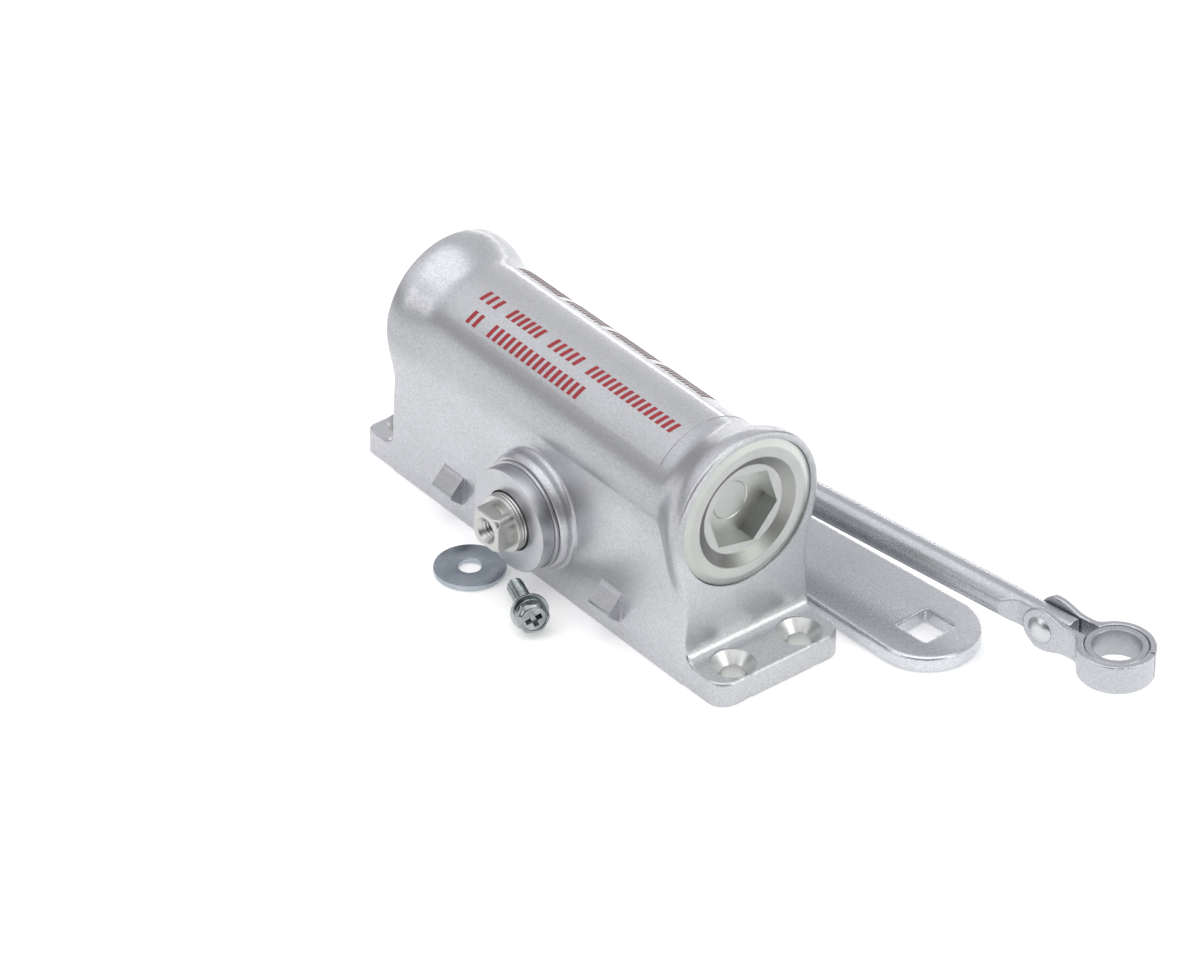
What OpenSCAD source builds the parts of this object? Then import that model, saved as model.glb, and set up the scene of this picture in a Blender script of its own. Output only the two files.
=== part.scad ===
// Surface-mounted hydraulic door closer with a rack-and-pinion drive and a two-piece arm.
// Millimetres. Origin: centre of the mounting face. +X runs along the barrel, -Y is the
// spindle side, +Z points away from the mounting face.

/* [Body] */
// Length of the block and barrel between the two end walls
body_l = 106; // [104:1:112]
// Width of the block between its two flanks
body_w = 36; // [35:0.5:38]
// Height of the barrel axis above the mounting face
axis_h = 38.5; // [38.5:0.5:40]
// Outer radius of the barrel between its flared ends
barrel_r = 16; // [15.8:0.1:16.5]
// Outer radius of the barrel at the end plug with the exposed socket
rim_r = 19.8; // [19.6:0.1:20.5]
// Outer radius of the barrel at the valve end
valve_rim_r = 18.7; // [18.5:0.1:20.5]
// Length over which the barrel swells to its end radius
flare_l = 11; // [10:0.5:13]

/* [Feet] */
// How far the foot at the plug end reaches past the end wall
foot_reach = 12.6; // [12.4:0.2:16]
// How far the foot at the valve end reaches past the end wall
valve_foot_reach = 10.4; // [10.2:0.2:14]
// Thickness of the feet
foot_t = 6.2; // [5:0.2:8]
// Corner radius of the foot at the plug end
foot_corner_r = 5; // [3:0.5:6]
// Screw spacing along the barrel
hole_pitch_x = 118.2; // [118:0.1:118.4]
// Screw spacing across the barrel
hole_pitch_y = 19; // [17:0.5:20]
// Radius of the screw holes
screw_hole_r = 2.75; // [2.25:0.05:3]
// Radius of the countersinks at the top of the foot at the plug end
sink_r = 5.2; // [4.5:0.1:5.4]

/* [Piston and spring] */
// Radius of the main bore
bore_r = 13.5; // [13.4:0.05:13.6]
// Thickness of the end plugs
plug_t = 9; // [8.5:0.1:9.5]
// Width across the flats of the plug socket
socket_af = 17; // [14:1:18]
// Wire diameter of the closing spring
wire_d = 2.8; // [2.2:0.1:2.8]
// Number of coils in the closing spring
coils = 4.5; // [3.5:0.5:4.5]

/* [Spindle] */
// Height of the spindle axis above the mounting face
spindle_h = 18; // [18:0.05:18.1]
// Width across the flats of the square head
square_af = 8.7; // [8:0.1:8.8]
// Length of the square head
square_l = 4.1; // [4:0.1:4.5]
// Radius of the round part that turns in the front bearing
journal_r = 6.9; // [6.5:0.05:6.9]
// Radius of the tapped hole in the spindle
tapped_r = 2; // [1.6:0.1:2.2]

/* [Arms] */
// Distance between the square hole and the elbow
arm_l = 90; // [88:1:91]
// Thickness of the main arm
arm_t = 4; // [3.5:0.1:4.1]
// Half width of the main arm at the square hole
arm_r = 12.5; // [11:0.5:13]
// Half width of the main arm at the elbow
elbow_r = 9.5; // [8:0.5:9.5]
// Distance between the elbow and the centre of the eye
forearm_l = 138.5; // [136:0.5:142]
// Diameter of the forearm rod
rod_d = 7.5; // [6.5:0.1:7.5]
// Inner radius of the eye bushing
eye_bore_r = 5.4; // [4:0.1:5.6]

/* [Hidden] */
$fn = 96;
e = 0.01;               // overlap that keeps unions and cuts clean

wall_x = body_l / 2;
flank_y = body_w / 2;
plug_floor_x = wall_x - plug_t;
foot_end_x = wall_x + foot_reach;
valve_foot_end_x = wall_x + valve_foot_reach;
valve_foot_corner_r = 3;
plug_hole_x = 60;       // screw holes at the plug end
valve_hole_x = plug_hole_x - hole_pitch_x;
valve_sink_r = 4.7;
flank_top_z = 26;       // the flanks are upright up to here, then lean in to the barrel

// Plugs
plug_r = 18;
valve_plug_r = 17;
plug_gap = 0.1;
plug_flange_t = 3.2;
plug_body_r = bore_r - 0.05;
recess_r = 13.6;        // mouth of the dished recess
recess_floor_r = 11;
recess_depth = 1.8;
socket_depth = 4.4;
oring_groove_w = 2.4;
oring_groove_depth = 1.5;
plug_groove_x = plug_floor_x + 1.2;
socket_turn = -42;      // the hexagon's angle about the barrel axis

// Gear and rack
gear_module = 1.25;
gear_teeth = 15;
pressure_angle = 25;
tooth_backlash = 0.15;  // taken off each tooth of gear and rack
gear_pitch_r = gear_module * gear_teeth / 2;
gear_base_r = gear_pitch_r * cos(pressure_angle);
gear_tip_r = gear_pitch_r + 0.96 * gear_module;
gear_root_r = gear_pitch_r - 1.25 * gear_module;
gear_half_w = 6.5;
tooth_pitch = PI * gear_module;
rack_pitch_z = spindle_h + gear_pitch_r;
rack_tip_z = rack_pitch_z - 0.96 * gear_module;
rack_root_z = rack_pitch_z + 1.25 * gear_module;
rack_gaps_left = -6;    // numbered from the gap above the spindle
rack_gaps_right = 1;

// Piston
piston_r = bore_r - 0.05;
piston_left_x = -36;
piston_right_x = 6;
piston_head_x = -28;    // inner end of the solid head
ring_x = -32.6;
ring_w = 2.2;
ring_depth = 1.8;
rack_start_x = -27.5;
spring_pocket_r = 8;
ball_r = 2.5;
ball_pocket_r = ball_r + 0.3;
ball_pocket_depth = 6.1;
retainer_t = 0.8;
retainer_hole_r = 1.2;
check_passage_r = 1.5;

// Spindle bores
cavity_r = 11;
cavity_end_y = 7.5;
cap_bore_r = 11.5;
cap_bore_end_y = -9.5;
front_bearing_end_y = -10.3;  // clear of the piston
spigot_end_y = -15.6;
boss_r = 13.9;
boss_face_y = -20.5;
cap_face_y = -25;
cap_r = 12.4;
collar_end_y = -27.3;
head_end_y = collar_end_y - square_l;
rear_journal_r = 6;
rear_journal_end_y = 14;
rear_pocket_r = 9.05;
rear_pocket_end_y = 14.5;
bearing_gap = 0.05;
seal_r = 9;
seal_front_y = -22.9;
seal_back_y = -19.6;
cap_groove_y = -19.4;
cap_groove_w = 2;

// Valves
valve_r = 3;
valve_y = 7;
valve_z = 12.4;
valve_l = 14;
valve_bore_end_x = -wall_x + 19;
valve_head_x = -wall_x + 1.2;
valve_groove_w = 1.6;
valve_groove_x = valve_head_x + 3;
passage_r = 1;
passage_top_z = axis_h - 10;

// Label film: it starts this far round the barrel from the top, on the spindle side
label_start = 52;
label_span = 104;
label_half_l = 38;

// Arms: directions in plan, and the two pivots
arm_angle = 4.4;
hole_centre = [73.4, 34.7];
elbow = hole_centre - arm_l * [cos(arm_angle), sin(arm_angle)];
rod_angle = 8.2;
rod_z = 16.7;
rod_r = rod_d / 2;
bend_r = 8;
pin_r = 2.75;
shoulder_z = arm_t + 1.1;
knuckle_s = 120;        // distance of the rivet from the elbow
tang_start_s = 108.6;
tang_end_s = 126.6;
tang_half_t = 1.9;
cheek_gap = 2.2;        // half of the space between the cheeks
strap_t = 1.5;
strap_half_h = 3.6;
lobe_r = 5;
bushing_r = 7.15;
loop_r = 7.2;
rivet_r = 2.4;
seam_angle = 20;

// Loose screw and washer
washer_centre = [-10.35, -28.1];
screw_tip = [2.51, -25.39];
screw_heading = -24;
screw_r = 2;
screw_l = 15.7;
plain_washer_r = 4.4;
plain_washer_t = 0.8;
spring_washer_t = 1.1;
washer_at = screw_l - plain_washer_t - spring_washer_t;
screw_tilt = atan((plain_washer_r - screw_r) / washer_at);

// ---------- helpers ----------

// Cylinder along +X from x0 to x1
module rod_x(r, x0, x1) {
    translate([x0, 0, 0]) rotate([0, 90, 0]) cylinder(r = r, h = x1 - x0);
}

// Cylinder along +Y from y0 to y1
module rod_y(r, y0, y1) {
    translate([0, y0, 0]) rotate([-90, 0, 0]) cylinder(r = r, h = y1 - y0);
}

// Cone along +Y from y0 to y1
module cone_y(r0, r1, y0, y1) {
    translate([0, y0, 0]) rotate([-90, 0, 0]) cylinder(r1 = r0, r2 = r1, h = y1 - y0);
}

// Ring of round section lying in the YZ plane
module oring_x(ring_r, section_r, x) {
    translate([x, 0, 0]) rotate([0, 90, 0])
        rotate_extrude($fn = 96) translate([ring_r, 0]) circle(r = section_r, $fn = 24);
}

module on_barrel() {
    translate([0, 0, axis_h]) children();
}

module on_spindle() {
    translate([0, 0, spindle_h]) children();
}

module on_forearm() {
    translate([elbow[0], elbow[1], rod_z]) rotate([0, 0, rod_angle]) children();
}

module on_screw() {
    translate([screw_tip[0], screw_tip[1], screw_r * cos(screw_tilt)])
        rotate([0, 0, screw_heading]) rotate([0, -screw_tilt, 0]) children();
}

// ---------- body ----------

// Barrel radius part way along the swell towards an end of radius end_r
function swell_r(t, end_r) = barrel_r + (end_r - barrel_r) * (1 - cos(180 * t)) / 2;

// Barrel with a smooth swell to a rim at each end
module barrel_outer() {
    edge = 0.8;
    rim_l = 1.6;
    steps = 8;
    start_x = wall_x - rim_l - flare_l;
    right = [for (i = [0:steps]) [swell_r(i / steps, rim_r), start_x + i * flare_l / steps]];
    left = [for (i = [steps:-1:0])
            [swell_r(i / steps, valve_rim_r), -start_x - i * flare_l / steps]];
    profile = concat([[0, -wall_x], [valve_rim_r - edge, -wall_x],
                      [valve_rim_r, -wall_x + edge]], left,
                     right, [[rim_r, wall_x - edge], [rim_r - edge, wall_x], [0, wall_x]]);
    rotate([0, 90, 0]) rotate_extrude($fn = 128) polygon(profile);
}

// Block under the barrel: upright flanks, then faces that run tangent to the barrel
module block() {
    dz = axis_h - flank_top_z;
    reach = norm([flank_y, dz]);
    tangent_l = sqrt(reach * reach - barrel_r * barrel_r);
    lean = 90 + atan(flank_y / dz) - asin(barrel_r / reach);
    top = [flank_y + tangent_l * cos(lean), flank_top_z + tangent_l * sin(lean)];
    translate([-wall_x, 0, 0]) rotate([90, 0, 90]) linear_extrude(body_l)
        polygon([[-flank_y, 0], [flank_y, 0], [flank_y, flank_top_z], top,
                 [-top[0], top[1]], [-flank_y, flank_top_z]]);
}

// Foot reaching from the middle of the body to end_x, with rounded outer corners
module foot(end_x, corner_r) {
    corner_x = end_x - corner_r;
    corner_y = flank_y - corner_r;
    translate([0, -flank_y, 0]) cube([corner_x, body_w, foot_t]);
    translate([0, -corner_y, 0]) cube([end_x, 2 * corner_y, foot_t]);
    for (y = [-corner_y, corner_y])
        translate([corner_x, y, 0]) cylinder(r = corner_r, h = foot_t, $fn = 64);
}

module screw_hole(top_r) {
    sink_depth = top_r - screw_hole_r;
    translate([0, 0, -1]) cylinder(r = screw_hole_r, h = foot_t + 2, $fn = 48);
    translate([0, 0, foot_t - sink_depth])
        cylinder(r1 = screw_hole_r, r2 = top_r + e, h = sink_depth + e, $fn = 48);
}

// Wedge-shaped lug that a cover clips on
module cover_lug(x) {
    lug_w = 7.2;
    reach = 3.5;
    translate([x - lug_w / 2, -flank_y, 0]) rotate([90, 0, 90]) linear_extrude(lug_w)
        polygon([[1, 4.5], [0, 4.5], [-reach, 7.5], [-reach, 8.1], [0, 11.7], [1, 11.7]]);
}

module valve_bores() {
    for (y = [-valve_y, valve_y]) translate([0, y, valve_z]) {
        rod_x(valve_r + 0.05, -wall_x - 1, valve_bore_end_x);
        rod_x(valve_r + 1, -wall_x - 1, -wall_x + 1);
        rod_x(passage_r, valve_bore_end_x - 1, -cavity_r + 2);
        translate([-plug_floor_x + 2, 0, 0])
            cylinder(r = passage_r, h = passage_top_z - valve_z, $fn = 32);
    }
}

module body_casting() {
    color("silver") difference() {
        union() {
            block();
            on_barrel() barrel_outer();
            foot(foot_end_x, foot_corner_r);
            mirror([1, 0, 0]) foot(valve_foot_end_x, valve_foot_corner_r);
            on_spindle() {
                rod_y(boss_r, -flank_y - 1, -flank_y + 1);
                cone_y(boss_r - 0.7, boss_r, boss_face_y, -flank_y - 1);
            }
            cover_lug(-29.5);
            cover_lug(27.5);
        }
        on_barrel() {
            rod_x(bore_r, -wall_x - 1, wall_x + 1);
            rod_x(plug_r + plug_gap, wall_x - plug_flange_t, wall_x + 1);
            rod_x(valve_plug_r + plug_gap, -wall_x - 1, plug_flange_t - wall_x);
        }
        on_spindle() {
            rod_y(cavity_r, cap_bore_end_y - 1, cavity_end_y);
            rod_y(cap_bore_r, boss_face_y - 1, cap_bore_end_y);
            rod_y(rear_pocket_r, cavity_end_y - 1, rear_pocket_end_y);
        }
        valve_bores();
        for (y = [-hole_pitch_y / 2, hole_pitch_y / 2]) {
            translate([plug_hole_x, y, 0]) screw_hole(sink_r);
            translate([valve_hole_x, y, 0]) screw_hole(valve_sink_r);
        }
    }
}

// Plug with its outer face at +X: a flange, a grooved body, a recess and a hexagon socket
module end_plug_shape(flange_r) {
    chamfer = 0.8;
    groove_x = plug_groove_x;
    difference() {
        union() {
            rod_x(plug_body_r, plug_floor_x, wall_x - plug_flange_t + e);
            rod_x(flange_r, wall_x - plug_flange_t + e, wall_x - chamfer);
            translate([wall_x - chamfer, 0, 0]) rotate([0, 90, 0])
                cylinder(r1 = flange_r, r2 = flange_r - chamfer, h = chamfer);
        }
        translate([wall_x - recess_depth, 0, 0]) rotate([0, 90, 0])
            cylinder(r1 = recess_floor_r, r2 = recess_r, h = recess_depth + e);
        translate([wall_x - recess_depth - socket_depth, 0, 0]) rotate([0, 90, 0])
            rotate([0, 0, socket_turn])
                cylinder(r = socket_af / 2 / cos(30), h = socket_depth + 1, $fn = 6);
        difference() {
            rod_x(plug_body_r + 1, groove_x, groove_x + oring_groove_w);
            rod_x(plug_body_r - oring_groove_depth, groove_x - 1,
                  groove_x + oring_groove_w + 1);
        }
    }
}

module plug_seal_shape() {
    section_r = (oring_groove_depth + bore_r - plug_body_r) / 2 - 0.01;
    oring_x(bore_r - section_r - 0.01, section_r, plug_groove_x + oring_groove_w / 2);
}

module right_end_plug() {
    color("gainsboro") on_barrel() end_plug_shape(plug_r);
}

module left_end_plug() {
    color("gainsboro") on_barrel() rotate([0, 0, 180]) end_plug_shape(valve_plug_r);
}

module right_plug_seal() {
    color("dimgray") on_barrel() plug_seal_shape();
}

module left_plug_seal() {
    color("dimgray") on_barrel() rotate([0, 0, 180]) plug_seal_shape();
}

// ---------- piston ----------

// One gap of the rack, widening towards the spindle
module rack_gap(x) {
    height = rack_root_z - rack_tip_z;
    half_pitch_gap = tooth_pitch / 4 + tooth_backlash / 2;
    top = half_pitch_gap - (rack_root_z - rack_pitch_z) * tan(pressure_angle);
    bottom = half_pitch_gap + (rack_pitch_z - rack_tip_z) * tan(pressure_angle);
    translate([x, piston_r, rack_tip_z]) rotate([90, 0, 0]) linear_extrude(2 * piston_r)
        polygon([[-bottom, 0], [-top, height], [top, height], [bottom, 0]]);
}

module piston() {
    color("darkgray") difference() {
        on_barrel() rod_x(piston_r, piston_left_x, piston_right_x);
        translate([rack_start_x, -piston_r, axis_h - piston_r - 1])
            cube([piston_right_x - rack_start_x + 1, 2 * piston_r,
                  rack_tip_z - (axis_h - piston_r - 1)]);
        for (i = [rack_gaps_left:rack_gaps_right]) rack_gap(i * tooth_pitch);
        on_barrel() {
            difference() {
                rod_x(piston_r + 1, ring_x, ring_x + ring_w);
                rod_x(piston_r - ring_depth, ring_x - 1, ring_x + ring_w + 1);
            }
            rod_x(check_passage_r, piston_left_x - 1, piston_head_x + 1);
            rod_x(ball_pocket_r, piston_left_x - 1, piston_left_x + ball_pocket_depth);
            rod_x(spring_pocket_r, piston_head_x, piston_right_x + 1);
        }
    }
}

module piston_ring() {
    color("beige") on_barrel() difference() {
        rod_x(bore_r - 0.02, ring_x + bearing_gap, ring_x + ring_w - bearing_gap);
        rod_x(piston_r - ring_depth, ring_x - 1, ring_x + ring_w + 1);
    }
}

module check_ball() {
    color("lightsteelblue") on_barrel()
        translate([piston_left_x + ball_pocket_depth - ball_r, 0, 0])
            sphere(r = ball_r - 0.01, $fn = 48);
}

module check_retainer() {
    color("gray") on_barrel() difference() {
        rod_x(ball_pocket_r, piston_left_x, piston_left_x + retainer_t);
        rod_x(retainer_hole_r, piston_left_x - 1, piston_left_x + retainer_t + 1);
    }
}

// Helix swept as one closed surface: centre line radius, wire radius, length
function spring_point(i, k, sides, steps, mid_r, wire_r, x0, length) =
    let (turn = 360 * coils * i / steps, side = 360 * k / sides,
         r = mid_r + wire_r * cos(side))
    [x0 + length * i / steps + wire_r * sin(side), r * cos(turn), r * sin(turn)];

module closing_spring() {
    sides = 10;
    steps = 108;
    wire_r = wire_d / 2;
    wall_gap = 0.6;
    end_gap = 0.1;
    mid_r = bore_r - wall_gap - wire_r;
    x0 = piston_right_x + wire_r + end_gap;
    length = plug_floor_x - wire_r - end_gap - x0;
    points = [for (i = [0:steps], k = [0:sides - 1])
              spring_point(i, k, sides, steps, mid_r, wire_r, x0, length)];
    skin = [for (i = [0:steps - 1], k = [0:sides - 1])
            let (a = i * sides + k, b = i * sides + (k + 1) % sides)
            [a, b, b + sides, a + sides]];
    caps = [[for (k = [sides - 1:-1:0]) k], [for (k = [0:sides - 1]) steps * sides + k]];
    color("slategray") on_barrel() polyhedron(points = points, faces = concat(skin, caps));
}

// ---------- spindle ----------

function involute(a) = gear_base_r * [cos(a) + a * PI / 180 * sin(a),
                                      sin(a) - a * PI / 180 * cos(a)];
function turned(p, a) = [p[0] * cos(a) - p[1] * sin(a), p[0] * sin(a) + p[1] * cos(a)];
function roll_angle(r) = sqrt(pow(r / gear_base_r, 2) - 1) * 180 / PI;
function inv_deg(a) = tan(a) * 180 / PI - a;

// Outline of the gear, one tooth centred on the first axis
module gear_outline() {
    flank_steps = 5;
    half_tooth = 90 / gear_teeth - tooth_backlash / 2 / gear_pitch_r * 180 / PI;
    start = half_tooth + inv_deg(pressure_angle);
    max_roll = roll_angle(gear_tip_r);
    flank = [for (i = [0:flank_steps]) involute(max_roll * i / flank_steps)];
    upper = [for (i = [flank_steps:-1:0]) turned([flank[i][0], -flank[i][1]], start)];
    lower = [for (p = flank) turned(p, -start)];
    root = gear_root_r * [cos(start), sin(start)];
    tooth = concat([[root[0], -root[1]]], lower, upper, [root]);
    polygon([for (t = [0:gear_teeth - 1], p = tooth) turned(p, t * 360 / gear_teeth)]);
}

module pinion_spindle() {
    half = square_af / 2;
    corner_r = 5.6;
    hole_depth = 12;
    mouth_r = 3.2;
    color("lightgray") on_spindle() difference() {
        union() {
            rod_y(journal_r, collar_end_y, -gear_half_w + e);
            translate([0, gear_half_w, 0]) rotate([90, -90, 0])
                linear_extrude(2 * gear_half_w) gear_outline();
            rod_y(rear_journal_r, gear_half_w - e, rear_journal_end_y);
            intersection() {
                translate([-half, head_end_y, -half]) cube([square_af, square_l + e, square_af]);
                rod_y(corner_r, head_end_y, collar_end_y + e);
            }
        }
        rod_y(tapped_r, head_end_y - 1, head_end_y + hole_depth);
        cone_y(mouth_r, tapped_r, head_end_y - e, head_end_y + mouth_r - tapped_r);
    }
}

module front_bearing() {
    color("gray") on_spindle() difference() {
        rod_y(cap_bore_r - bearing_gap, spigot_end_y + 0.1, front_bearing_end_y);
        rod_y(journal_r + bearing_gap, spigot_end_y - 1, cap_bore_end_y + 1);
    }
}

module rear_bearing() {
    color("gray") on_spindle() difference() {
        rod_y(rear_pocket_r - bearing_gap, cavity_end_y + 0.5, rear_journal_end_y);
        rod_y(rear_journal_r + bearing_gap, cavity_end_y, rear_journal_end_y + 1);
    }
}

module spindle_seal() {
    color("dimgray") on_spindle() difference() {
        rod_y(seal_r, seal_front_y, seal_back_y);
        rod_y(journal_r + 0.03, seal_front_y - 1, seal_back_y + 1);
    }
}

module spindle_cap() {
    chamfer = 0.5;
    spigot_r = cap_bore_r - 0.1;
    groove_depth = 1.2;
    color("silver") on_spindle() difference() {
        union() {
            cone_y(cap_r - chamfer, cap_r, cap_face_y, cap_face_y + chamfer);
            rod_y(cap_r, cap_face_y + chamfer - e, boss_face_y);
            rod_y(spigot_r, boss_face_y - e, spigot_end_y);
        }
        rod_y(journal_r + 0.3, cap_face_y - 1, spigot_end_y + 1);
        rod_y(seal_r + 0.02, seal_front_y - 0.1, spigot_end_y + 1);
        difference() {
            rod_y(spigot_r + 1, cap_groove_y, cap_groove_y + cap_groove_w);
            rod_y(spigot_r - groove_depth, cap_groove_y - 1, cap_groove_y + cap_groove_w + 1);
        }
    }
}

module cap_seal() {
    section_r = 0.62;
    color("dimgray") on_spindle() translate([0, cap_groove_y + cap_groove_w / 2, 0])
        rotate([90, 0, 0])
        rotate_extrude() translate([cap_bore_r - section_r - 0.02, 0])
            circle(r = section_r, $fn = 24);
}

// ---------- valves ----------

module valve_shape() {
    slot_w = 1;
    slot_depth = 1.2;
    needle_l = 4;
    needle_r = 1.4;
    tip_x = valve_head_x + valve_l;
    difference() {
        rod_x(valve_r, valve_head_x, tip_x);
        translate([valve_head_x - 1, -valve_r - 1, -slot_w / 2])
            cube([slot_depth + 1, 2 * valve_r + 2, slot_w]);
        difference() {
            rod_x(valve_r + 1, valve_groove_x, valve_groove_x + valve_groove_w);
            rod_x(valve_r - 1, valve_groove_x - 1, valve_groove_x + valve_groove_w + 1);
        }
        difference() {
            rod_x(valve_r + 1, tip_x - needle_l, tip_x + 1);
            rod_x(needle_r, tip_x - needle_l - 1, tip_x + 2);
        }
    }
}

module closing_valve() {
    color("khaki") translate([0, -valve_y, valve_z]) valve_shape();
}

module latching_valve() {
    color("khaki") translate([0, valve_y, valve_z]) valve_shape();
}

module valve_seals() {
    section_r = 0.5;
    color("dimgray") for (y = [-valve_y, valve_y]) translate([0, y, valve_z])
        oring_x(valve_r - 1 + section_r + 0.02, section_r,
                valve_groove_x + valve_groove_w / 2);
}

// ---------- label ----------

module label_film() {
    film_t = 0.12;
    color("lightgray") on_barrel() rotate([0, 90, 0]) rotate([0, 0, 180 + label_start - label_span])
        translate([0, 0, -label_half_l]) rotate_extrude(angle = label_span, $fn = 128)
            translate([barrel_r, 0]) square([film_t, 2 * label_half_l]);
}

// ---------- arms ----------

module arm_outline() {
    lean = asin((arm_r - elbow_r) / arm_l);
    big = [for (s = [-1, 1]) arm_r * [sin(lean), s * cos(lean)]];
    small = [for (s = [-1, 1]) [-arm_l, 0] + elbow_r * [sin(lean), s * cos(lean)]];
    circle(r = arm_r);
    translate([-arm_l, 0]) circle(r = elbow_r);
    polygon([big[0], big[1], small[1], small[0]]);
}

module main_arm() {
    square_hole = square_af + 0.3;
    sink = 1.5;
    color("silver") translate([hole_centre[0], hole_centre[1], 0]) rotate([0, 0, arm_angle])
        difference() {
            linear_extrude(arm_t) arm_outline();
            translate([-square_hole / 2, -square_hole / 2, -1])
                cube([square_hole, square_hole, arm_t + 2]);
            translate([-arm_l, 0, -1]) cylinder(r = pin_r + 0.05, h = arm_t + 2);
            translate([-arm_l, 0, -e])
                cylinder(r1 = pin_r + 0.05 + sink, r2 = pin_r + 0.05, h = sink + e);
        }
}

module elbow_washer() {
    color("gainsboro") translate([elbow[0], elbow[1], arm_t]) difference() {
        cylinder(r = 6, h = 0.8);
        translate([0, 0, -1]) cylinder(r = pin_r + 0.05, h = 3);
    }
}

module forearm_rod() {
    peen = 1.1;
    color("silver") on_forearm() difference() {
        union() {
            rod_x(rod_r, bend_r, tang_end_s);
            translate([bend_r, 0, -bend_r]) rotate([90, 0, 0]) rotate([0, 0, 90])
                rotate_extrude(angle = 90) translate([bend_r, 0]) circle(r = rod_r);
            translate([0, 0, shoulder_z - rod_z])
                cylinder(r = rod_r, h = rod_z - bend_r - shoulder_z + e);
            translate([0, 0, 0.2 - rod_z]) cylinder(r = pin_r, h = shoulder_z);
            translate([0, 0, 0.2 - rod_z])
                cylinder(r1 = pin_r + peen, r2 = pin_r, h = peen);
        }
        for (side = [-1, 1])
            translate([tang_start_s, side * (tang_half_t + rod_r) - rod_r, -rod_r - 1])
                cube([tang_end_s, 2 * rod_r, 2 * rod_r + 2]);
        translate([knuckle_s, 0, 0]) rod_y(rivet_r + 0.05, -rod_r, rod_r);
    }
}

module knuckle_strap() {
    mouth_s = forearm_l - 7.4;
    outer = cheek_gap + strap_t;
    color("silver") on_forearm() difference() {
        union() {
            translate([forearm_l, 0, -strap_half_h])
                cylinder(r = loop_r + strap_t, h = 2 * strap_half_h);
            for (side = [-1, 1]) translate([knuckle_s, side * (cheek_gap + strap_t / 2), 0])
                rotate([90, 0, 0]) translate([0, 0, -strap_t / 2]) linear_extrude(strap_t) {
                    circle(r = lobe_r);
                    polygon([[0, lobe_r], [9.5, strap_half_h], [mouth_s - knuckle_s, strap_half_h],
                             [mouth_s - knuckle_s, -strap_half_h], [9.5, -strap_half_h],
                             [0, -lobe_r]]);
                }
        }
        translate([forearm_l, 0, -strap_half_h - 1])
            cylinder(r = loop_r, h = 2 * strap_half_h + 2);
        translate([forearm_l - loop_r - strap_t - 1, -cheek_gap, -strap_half_h - 1])
            cube([loop_r, 2 * cheek_gap, 2 * strap_half_h + 2]);
        translate([knuckle_s, 0, 0]) rod_y(rivet_r, -outer - 1, outer + 1);
        translate([forearm_l, 0, 0]) rotate([0, 0, seam_angle])
            translate([loop_r + strap_t / 2, -0.15, -strap_half_h - 1])
                cube([strap_t, 0.3, 2 * strap_half_h + 2]);
    }
}

module eye_bushing() {
    chamfer = 0.5;
    color("silver") on_forearm() translate([forearm_l, 0, -strap_half_h]) difference() {
        cylinder(r = bushing_r, h = 2 * strap_half_h);
        translate([0, 0, -1]) cylinder(r = eye_bore_r, h = 2 * strap_half_h + 2);
        for (flip = [0, 1]) translate([0, 0, flip * 2 * strap_half_h]) mirror([0, 0, flip])
            translate([0, 0, -e])
                cylinder(r1 = eye_bore_r + chamfer, r2 = eye_bore_r, h = chamfer);
    }
}

module knuckle_rivet() {
    outer = cheek_gap + strap_t;
    head_r = 3.2;
    head_h = 1.2;
    dome_r = (head_r * head_r + head_h * head_h) / (2 * head_h);
    color("silver") on_forearm() translate([knuckle_s, 0, 0]) {
        rod_y(rivet_r - e, -outer, outer);
        for (side = [0, 180]) rotate([0, 0, side]) intersection() {
            translate([0, outer + head_h - dome_r, 0]) sphere(r = dome_r, $fn = 64);
            rod_y(head_r, outer, outer + head_h);
        }
    }
}

// ---------- loose pieces ----------

module spindle_washer() {
    outer_r = 8.3;
    hole_r = 2.65;
    thickness = 1.2;
    color("lightsteelblue") translate([washer_centre[0], washer_centre[1], 0]) difference() {
        cylinder(r = outer_r, h = thickness);
        translate([0, 0, -1]) cylinder(r = hole_r, h = thickness + 2);
    }
}

module spindle_screw() {
    head_af = 7;
    head_h = 2.8;
    dish_r = 2.7;
    dish_depth = 0.4;
    cross_w = 1;
    cross_l = 4.2;
    cross_depth = 2;
    tip_chamfer = 0.5;
    color("lightsteelblue") on_screw() difference() {
        union() {
            rod_x(screw_r, tip_chamfer, screw_l + e);
            rotate([0, 90, 0])
                cylinder(r1 = screw_r - tip_chamfer, r2 = screw_r, h = tip_chamfer + e);
            translate([screw_l, 0, 0]) rotate([0, 90, 0])
                cylinder(r = head_af / 2 / cos(30), h = head_h, $fn = 6);
        }
        rod_x(dish_r, screw_l + head_h - dish_depth, screw_l + head_h + 1);
        for (turn = [20, 110]) rotate([turn, 0, 0])
            translate([screw_l + head_h - cross_depth, -cross_l / 2, -cross_w / 2])
                cube([cross_depth + 1, cross_l, cross_w]);
    }
}

module lock_washer() {
    outer_r = 3.7;
    gap = 0.6;
    color("lightsteelblue") on_screw() difference() {
        rod_x(outer_r, washer_at + plain_washer_t, screw_l);
        rod_x(screw_r + 0.1, washer_at, screw_l + 1);
        rotate([-70, 0, 0]) translate([washer_at, screw_r - 1, -gap / 2])
            cube([4, outer_r, gap]);
    }
}

module screw_washer() {
    color("lightsteelblue") on_screw() difference() {
        rod_x(plain_washer_r, washer_at, washer_at + plain_washer_t);
        rod_x(screw_r + 0.1, washer_at - 1, washer_at + 2);
    }
}

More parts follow.
